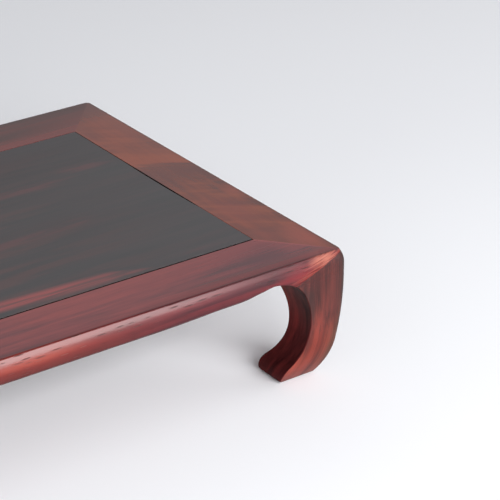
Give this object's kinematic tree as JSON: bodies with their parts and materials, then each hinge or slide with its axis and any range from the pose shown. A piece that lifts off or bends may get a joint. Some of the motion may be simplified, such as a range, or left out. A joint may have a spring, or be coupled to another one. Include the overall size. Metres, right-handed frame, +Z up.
{
  "type": "vase stand",
  "caption": "Low rectangular hardwood stand: mitred frame with a rounded edge, flush dark centre panel and hoof legs that curve inwards, to raise a vase or ornament.",
  "frame": {"origin": "on the floor under the middle of the stand", "axes": "+X along the length to the right seen from the front, +Y from front to back, +Z up"},
  "size_m": [0.3024, 0.2038, 0.06],
  "materials": {
    "rail_wood": "satin polished red-brown hardwood",
    "panel_wood": "satin polished near-black hardwood",
    "leg_wood": "satin polished red-brown hardwood",
    "batten_wood": "planed and waxed hardwood",
    "peg_wood": "split bamboo"
  },
  "bodies": {
    "root": {"front_rail": "rail_wood", "back_rail": "rail_wood", "left_rail": "rail_wood", "right_rail": "rail_wood", "centre_panel": "panel_wood", "left_batten": "batten_wood", "right_batten": "batten_wood", "front_left_leg": "leg_wood", "front_right_leg": "leg_wood", "back_left_leg": "leg_wood", "back_right_leg": "leg_wood", "front_left_peg": "peg_wood", "front_right_peg": "peg_wood", "back_left_peg": "peg_wood", "back_right_peg": "peg_wood"}
  },
  "joints": []
}
